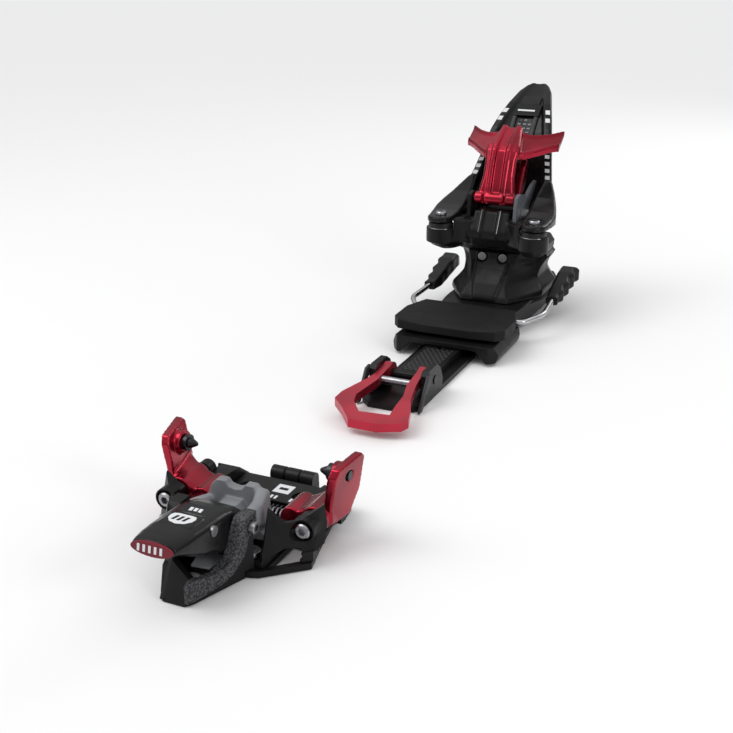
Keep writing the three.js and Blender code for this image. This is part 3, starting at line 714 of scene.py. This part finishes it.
# Plain marks printed on the deck: a square with a dark middle, and a row of bars.
DECK = 10.8
DECK_SQUARE = [(-1, 13.4), (7.4, 13.4), (7.4, 21.4), (-1, 21.4)]
DECK_BARS = [bar(x, 7.4, 10.4, 1.2) for x in (-6, -3.8, -1.6, 0.6, 2.8, 10.6, 12.8, 15, 17.2)]
crisp("deck_marks", [prism("z", mark, DECK - 0.1, DECK + 0.12) for mark in (DECK_SQUARE, *DECK_BARS)],
      "bases", "white")
crisp("deck_mark_cut", [prism("z", [(1, 16.4), (5.4, 16.4), (5.4, 18.6), (1, 18.6)], DECK + 0.1, DECK + 0.2)],
      "bases", "black")

# ---- Heel piece --------------------------------------------------------------------

dress("track_side_plate_right track_side_plate_left", "side_grey", 0.4)
dress("heel_track", "black", 0.5)
crisp("track_knurl", [prism("z", mirror_half([(9, 190), (9, 231)]), 7.8, 8.15)],
      "bases", "knurl")
dress("mode_lever", "loop_red", 1.0, 3)
dress("mode_lever_bar length_screw", "steel", 0.2)
dress("climbing_aid_axle", "dark_steel", 0.2)
dress("mode_lever_axle", "black", 0.2)
dress("heel_screw_1 heel_screw_2 heel_screw_3 heel_screw_4", "steel", 0.3)
dress("heel_carriage brake_housing brake_frame turret_ring", "black", 0.9)
dress("brake_pad", "pad", 2.0, 4)
dress("tower_bolt_right tower_bolt_left", "grey_steel", 0.5)
dress("release_cap", "dark_steel", 0.5)
dress("release_spring", "steel", 0)
dress("roller_right roller_left", "roller", 0.5)

# Brake: a wire arm on each side with a notched grip at its end.
ARM = [(4, 284, 14.6), (37, 284, 14.6), (47.2, 300.5, 16.5), (45.4, 327.4, 18)]
SERRATED = [(41.6, 327.5), (40.6, 340), (40.4, 372), (42, 381), (49.6, 381), (51, 374), (48.8, 369),
            (50.6, 362), (48.4, 357), (50.2, 350), (48, 345), (49.4, 339), (47.4, 334), (48.6, 327.5)]
GRIP_SIDE = [(327.9, 15.2), (340, 15), (372, 20.5), (381, 20), (378, 28.6), (371, 31), (362, 29.4),
             (350, 26), (333, 21.4), (327.9, 20.4)]
GRIP_FIRST_Y, GRIP_LAST_Y, GRIP_STEPS = 328.2, 380.6, 53
GRIP_HALF_WIDTH, GRIP_HALF_HEIGHT = 0.62, 0.56
GRIP_SECTION = [(-1, -0.7), (-0.7, -1), (0.7, -1), (1, -0.7), (1, 0.7), (0.7, 1), (-0.7, 1), (-1, 0.7)]


def span(profile, y):
    """The lowest and highest value of a closed profile of (y, value) at one y."""
    crossings = []
    for (y0, v0), (y1, v1) in zip(profile, profile[1:] + profile[:1]):
        if min(y0, y1) <= y <= max(y0, y1) and y0 != y1:
            crossings.append(v0 + (v1 - v0) * (y - y0) / (y1 - y0))
    return min(crossings), max(crossings)


def grip_rings():
    """The grip's section at steps along y: its height from one profile and its width from the other."""
    plan = [(y, x) for x, y in SERRATED]
    rings = []
    for i in range(GRIP_STEPS + 1):
        y = GRIP_FIRST_Y + i * (GRIP_LAST_Y - GRIP_FIRST_Y) / GRIP_STEPS
        x0, x1 = span(plan, y)
        z0, z1 = span(GRIP_SIDE, y)
        middle_x, middle_z = (x0 + x1) / 2, (z0 + z1) / 2
        half_width, half_height = GRIP_HALF_WIDTH * (x1 - x0), GRIP_HALF_HEIGHT * (z1 - z0)
        rings.append([(middle_x + half_width * a, y, middle_z + half_height * b) for a, b in GRIP_SECTION])
    return rings


def rim_highlight_path(sign):
    """A bright steel line round the front of a roller's cup: a painted highlight on the cup's rim."""
    turns = [math.radians(-155 + 11 * k) for k in range(11)]
    return [(sign * ROLLER_X + 9.3 * math.cos(t), CUP_Y + 9.1 * math.sin(t), 65.2) for t in turns]


for sign, label in SIDES:
    crisp("brake_wire_" + label, [on_side(tube(rounded(ARM, 5), 1.9, 14), sign)],
          "brake", "wire", "brake_arm_" + label)
    melt("brake_handle_" + label, [on_side(loft(grip_rings()), sign)],
         "brake", "black", "brake_grip_" + label, voxel=0.5, rounds=2)
    crisp("roller_screw_head_" + label,
          [socket_head("z", 1, sign * ROLLER_X, ROLLER_Y, 74.1, 3.7, 2.0, 1.9, 1.4),
           rod("z", 2, 55, 75, sign * ROLLER_X, ROLLER_Y)],
          "jaw", "steel", "roller_screw_" + label)
    # Painted highlight: a thin steel line along the cup's rim.
    crisp("roller_rim_highlight_" + label, [tube(rim_highlight_path(sign), 0.3, 8)], "jaw", "steel")

# Tower: sections at rising heights, a raised front panel and the turret's pocket.
TOWER = [(15.4, 34, 314, 402), (19, 33.5, 315.5, 402), (23, 30, 318.5, 402), (27, 27.3, 321.5, 401),
         (32, 28, 326, 399.5), (36, 30, 330, 397.5), (40, 33, 332.8, 395), (43.4, 35, 333.3, 392)]
PANEL = [(17, 313.4, 7.2), (20, 314.8, 8.0), (27.5, 319.8, 9.8), (37, 328.6, 11.5), (42.4, 331.8, 11.5),
         (46.4, 332.3, 11.2)]


def tower_ring(z, w, y0, y1):
    half = [(0.5 * w, y0), (0.72 * w, y0 + 12), (w, y0 + 30), (w, y1 - 22), (0.7 * w, y1)]
    return [(x, y, z) for x, y in mirror_half(half)]


melt("heel_tower_body",
     [loft([tower_ring(*level) for level in TOWER]),
      loft([tower_ring(43, 35, 333.3, 368), tower_ring(46.9, 35.6, 333.6, 364)]),
      loft([[(w, y, z), (-w, y, z), (-w, y + 8, z), (w, y + 8, z)] for z, y, w in PANEL])],
     "turret", "black", "heel_tower", voxel=0.7, rounds=5,
     cuts=[rod("z", 24.4, 8, 20, 0, TURRET_Y, 48),
           rod("y", 3.6, 325, 346, 7.5, 43), rod("y", 3.6, 325, 346, -7.5, 43),
           rod("y", 9.0, 346, 415, 0, 32)])

# Jaw: central column with two ribs, round lips under the rollers, and ears for the aids' axle.
COLUMN = [(333, 47.4), (323, 53), (318.8, 59), (319.5, 64), (326.5, 76.4), (337.6, 76.4), (341, 72),
          (351, 74), (365.5, 80.5), (371.5, 83.5), (378, 79), (380, 60), (380, 47.4)]
CORE = [(333, 47.4), (322.5, 54), (322.5, 62), (332, 67.5), (372, 68.5), (380, 58), (380, 47.4)]
LIP = [(16, 331), (22.5, 315), (26.5, 309.5), (31, 307), (36, 307.4), (40.6, 310.6), (43, 316.5), (43, 334),
       (36, 350), (18, 356)]
RIB = [(326.6, 77.6), (325.2, 78), (317.8, 64.3), (317.6, 61), (320, 61), (329, 77)]
EAR = [(326, 68), (350, 68), (350.5, 82), (345.5, 86), (334, 88.6), (328.5, 87), (327, 80)]


def cup_wall():
    """The raised edge that runs round the front of a roller."""
    turns = [math.radians(-200 + 10 * k) for k in range(23)]
    outer = [(ROLLER_X + 10.2 * math.cos(t), CUP_Y + 9.9 * math.sin(t)) for t in turns]
    inner = [(ROLLER_X + 8.6 * math.cos(t), CUP_Y + 8.4 * math.sin(t)) for t in reversed(turns)]
    return prism("z", outer + inner, 55, 65.4)


def lip_ring(z, shrink):
    """The lip's outline at one height, drawn in towards the column."""
    return [(x + (27 - x) * shrink, y + (332 - y) * shrink, z) for x, y in LIP]


# Fillers that join the roller cups to the column.
SHOULDER = [(11, 324), (19, 317), (23.4, 314.8), (23.4, 321), (24.2, 324.5), (25.5, 327), (27.5, 329),
            (27.5, 348), (11, 350)]
SHOULDER_TOP = [(18, 321), (23.8, 315.4), (27, 322), (27, 332), (18, 332)]
FLANK = [(11, 58), (24, 58), (23, 62), (17.2, 70.5), (11, 72)]
CHEST = [(322.5, 55), (319.2, 60), (321, 66), (327, 72), (340, 72), (340, 55)]
melt("heel_jaw_body",
     [prism("x", COLUMN, -12.5, 12.5), prism("x", CORE, -24, 24),
      *both(loft([lip_ring(49.5, 0.42), lip_ring(52.5, 0.16), lip_ring(56, 0.02), lip_ring(60.6, 0.0)]),
            cup_wall(),
            prism("z", SHOULDER, 55, 70.6),
            prism("x", RIB, 4.9, 6.9),
            prism("z", SHOULDER_TOP, 69.35, 71.8),
            prism("y", FLANK, 327, 350),
            prism("x", CHEST, 10, 15.5))],
     "jaw", "black", "heel_jaw", voxel=0.7, rounds=4)

# Painted highlights: thin grey steel lines along the ribs' front edges.
crisp("jaw_rib_highlights", both(tube([(6.6, 327.1, 77.6), (6.6, 325.3, 77.6), (6.6, 317.6, 63.6)], 0.35, 8)),
      "jaw", "grey_steel")

EAR_WEB = [(334, 66), (334.5, 76.5), (341, 81), (362, 90), (372, 91.5), (379, 87), (364, 62)]
for name, low, high, material, slot in (("jaw_ear_web_right", 15.1, 17.9, "web_grey", "grey_plastic"),
                                        ("jaw_ear_web_left", -17.9, -15.1, "black", "black_plastic")):
    crisp(name, [prism("x", EAR_WEB, low, high), prism("x", EAR, low - 0.4, high - 0.4)],
          "jaw", material, width=0.6)

# Heel lever: a dished tongue with raised rims, and two arms over the rollers.
TONGUE = [(33, 352, 78.6, 9), (31.4, 358, 82, 9), (31, 364, 87, 8.5), (28.6, 370.6, 95.5, 7.5),
          (26.5, 376, 104, 6.2), (24.5, 381.7, 113.5, 5), (22.2, 388, 122.8, 4.2), (19.4, 396.7, 130.7, 3.8),
          (16, 407, 138, 3), (12.2, 419.4, 144.8, 2), (8.6, 425.8, 148, 1), (5.4, 429, 149.5, 0.4)]


def rim_width(half_width):
    return min(5.6, 0.34 * half_width)


def tongue_rings(stations):
    """The tongue's sections, each square to its slope: raised rims with a dished middle."""
    rings = []
    for i, (w, y, z, depth) in enumerate(stations):
        y0, z0 = stations[max(i - 1, 0)][1:3]
        y1, z1 = stations[min(i + 1, len(stations) - 1)][1:3]
        along = Vector((y1 - y0, z1 - z0)).normalized()
        out = Vector((-along.y, along.x))
        rim = rim_width(w)
        inner = w - rim - 1.4
        section = [(w, -2.2), (w, 1.6), (w - 0.9, 2.4), (w - rim, 2.4), (inner, 2.4 - depth * 0.6),
                   (inner * 0.5, 2.4 - depth * 0.75), (0, 2.4 - depth * 0.8)]
        half = [(x, y + out.x * n, z + out.y * n) for x, n in section]
        under = [(w * 0.9, -3.0 - depth * 0.35), (0, -3.2 - depth * 0.5)]
        back = [(x, y + out.x * n, z + out.y * n) for x, n in under]
        full = [back[0]] + half + [(-x, a, b) for x, a, b in reversed(half[:-1])]
        full += [(-back[0][0], back[0][1], back[0][2]), back[1]]
        rings.append(full)
    return rings


LEVER_ARM = [(306.6, 30, 36, 69.7, 73.2), (308.6, 27, 39.2, 69.6, 73.6), (312, 25.2, 41.4, 69.6, 73.8),
             (318, 24, 42.4, 69.6, 74.0), (326, 23.2, 43, 69.6, 75.2), (334, 22.8, 43, 69.7, 77.6),
             (342, 22.8, 40.8, 70.8, 80.8), (350, 23.2, 38, 73, 84), (357, 23.6, 35, 77, 88),
             (365, 24.6, 31, 83, 93)]


def lever_arm_ring(y, x0, x1, z0, z1):
    return [(x0, y, z0), (x1, y, z0), (x1, y, z1 - 1.2), (x1 - 1.5, y, z1), (x0 + 1.2, y, z1),
            (x0, y, z1 - 1)]


melt("heel_lever_body",
     [loft(tongue_rings(TONGUE)), *both(loft([lever_arm_ring(*station) for station in LEVER_ARM]))],
     "jaw", "black_gloss", "heel_lever", voxel=0.7, rounds=4)


def on_tongue(z, x, lift):
    """A point in front of the tongue's reference line, and the tongue's half width there."""
    for (w0, y0, z0, _), (w1, y1, z1, _) in zip(TONGUE, TONGUE[1:]):
        if z0 <= z <= z1:
            part = (z - z0) / (z1 - z0)
            out = Vector((z0 - z1, y1 - y0)).normalized()
            return (x, y0 + part * (y1 - y0) + out.x * lift, z + out.y * lift), w0 + part * (w1 - w0)
    raise ValueError(z)


def rim_mark(side, z0, z1):
    """A plain bar printed on the tongue's rim."""
    edges = []
    for z in (z0, z1):
        half_width = on_tongue(z, 0, 0)[1]
        rim = rim_width(half_width)
        edges.append([(z, side * (half_width - 0.2 * rim)), (z, side * (half_width - 0.78 * rim))])
    flat = edges[0] + edges[1][::-1]
    return loft([[on_tongue(z, x, lift)[0] for z, x in flat] for lift in (1.8, 2.55)])


def tongue_strip(x0, x1, z0, z1, low, high):
    """A flat strip on the tongue, between two heights above its reference line."""
    flat = [(z0, x0), (z0, x1), (z1, x1), (z1, x0)]
    return loft([[on_tongue(z, x, lift)[0] for z, x in flat] for lift in (low, high)])


RIM_BARS = [(92, 94.2), (96.4, 98.6), (100.8, 103), (105.2, 107.4), (109.6, 111.8), (127, 129.4),
            (131.6, 134)]
crisp("tongue_rim_marks", [rim_mark(side, z0, z1) for z0, z1 in RIM_BARS for side in (1, -1)],
      "jaw", "white")
SCALE_PLATE = [(-9.5, 9.5, 131, 137.5, 0.2, 1.7), (-7, 7, 137.6, 142, 0.2, 1.6),
               (-9.5, -6.2, 119, 131, -0.6, 1.2), (6.2, 9.5, 119, 131, -0.6, 1.2),
               (-9.5, 9.5, 115, 119, -0.6, 1.0)]
SCALE_TICKS = [(x, x + 2.2, z, z + 0.8, -1.6, -0.6) for z in (121.5, 124, 126.5, 129)
               for x in (-4.6, -0.6, 3.0)]
crisp("tongue_scale_plate", [tongue_strip(*strip) for strip in SCALE_PLATE],
      "jaw", "black_gloss", width=0.5)
crisp("tongue_scale_line", [tongue_strip(-7, 5.6, 133.3, 134.2, 1.4, 1.85)], "jaw", "white")
crisp("tongue_scale_ticks", [tongue_strip(*strip) for strip in SCALE_TICKS], "jaw", "grey")

# Front climbing aid: a ribbed stem that runs up and over into two swept arms.
STEM = [(329.4, 81, 13.7), (330.4, 85, 13.6), (332.4, 92, 12.0), (335.2, 100, 10.8), (338.8, 110, 10.8),
        (341.8, 116.4, 11.6), (346, 120, 11.6), (354, 124.4, 9.8), (364.4, 130, 7.6)]


def stem_rings():
    """The stem's sections, each square to its path: two ribs on a channelled back."""
    rings = []
    for i, (y, z, w) in enumerate(STEM):
        y0, z0 = STEM[max(i - 1, 0)][:2]
        y1, z1 = STEM[min(i + 1, len(STEM) - 1)][:2]
        along = Vector((y1 - y0, z1 - z0)).normalized()
        deep = Vector((along.y, -along.x))
        half = [(0, 1.9), (2.8, 1.9), (3.9, 0), (6.0, 0), (7.0, 0.9), (w - 1.6, 1.1), (w, 2.4), (w, 7.2),
                (w - 2.2, 7.2), (w - 2.4, 4.6), (0, 4.6)]
        points = half + [(-x, d) for x, d in reversed(half) if x]
        rings.append([(x, y + deep.x * d, z + deep.y * d) for x, d in points])
    return rings


def head_ring(x, y0, y1, drop):
    """The head's section at one x, on a surface that rises backward and falls outward."""
    def top(y, below):
        return (x, y, 116 + 0.553 * (y - 341) - 0.38 * x - below)
    return [top(y0 + 0.6, 5.2 + drop), top(y0, 1.4 + drop), top(y0 + 1.4, 0), top(y0 + 3.4, 1.5),
            top(y1 - 3.0, 1.5), top(y1 - 1.2, 0), top(y1, 0.8), top(y1 - 0.4, 3.8 + drop)]


HEAD = [(3, 343, 364.4, 0), (9, 344, 364.6, 0), (14, 346.8, 366, 0), (20, 353, 369.6, 0), (26, 360, 374.6, 0),
        (31.4, 365.6, 380.4, 0), (33.2, 367.2, 382, 0.6)]
melt("climbing_aid_front_body",
     [loft(stem_rings()), *both(loft([head_ring(*station) for station in HEAD])),
      *[rod("x", 4.1, start, end, FRONT_AID_Y, FRONT_AID_Z)
        for start, end in ((-14.2, -8.9), (-7.3, 6.4), (8, 14.2))]],
     "climbing_aid_front", "red", "climbing_aid_front", voxel=0.5, rounds=3)

# Rear climbing aid: a plain plate between two side ribs.
melt("climbing_aid_rear_body",
     [prism("x", [(344.6, 81), (348, 80), (361.5, 104.5), (358.6, 106)], -13, 13),
      *both(prism("x", [(341.6, 79.4), (349.4, 78.4), (363, 104.4), (357.6, 108), (352.6, 104), (343, 85)],
                  9.8, 14.2)),
      rod("x", 3.7, -14.2, 14.2, REAR_AID_Y, REAR_AID_Z)],
     "climbing_aid_rear", "red", "climbing_aid_rear", voxel=0.5, rounds=3)

make_camera()
make_stage()
